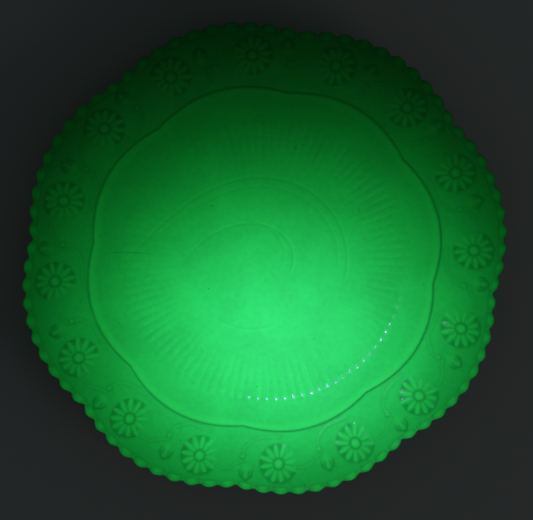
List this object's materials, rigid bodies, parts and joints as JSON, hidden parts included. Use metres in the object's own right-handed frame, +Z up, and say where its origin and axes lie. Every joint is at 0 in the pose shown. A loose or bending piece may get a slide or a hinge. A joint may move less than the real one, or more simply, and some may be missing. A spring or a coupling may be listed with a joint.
{
  "type": "pressed glass dish",
  "caption": "Shallow footed dish of pressed uranium glass with a ribbed round well, a lobed shoulder line and a rising floral brim with a scalloped edge.",
  "frame": {"origin": "on the dish's axis, in the plane of the foot ring's flat underside", "axes": "+Z up along the dish's axis, out of the well; +X and +Y each run through an inward cusp between two lobes"},
  "size_m": [0.2226, 0.2226, 0.0241],
  "materials": {
    "uranium_glass": "fire-polished pressed glass, semi-translucent, fluorescing green under ultraviolet light"
  },
  "bodies": {
    "root": {"glass_dish": "uranium_glass"}
  },
  "joints": []
}
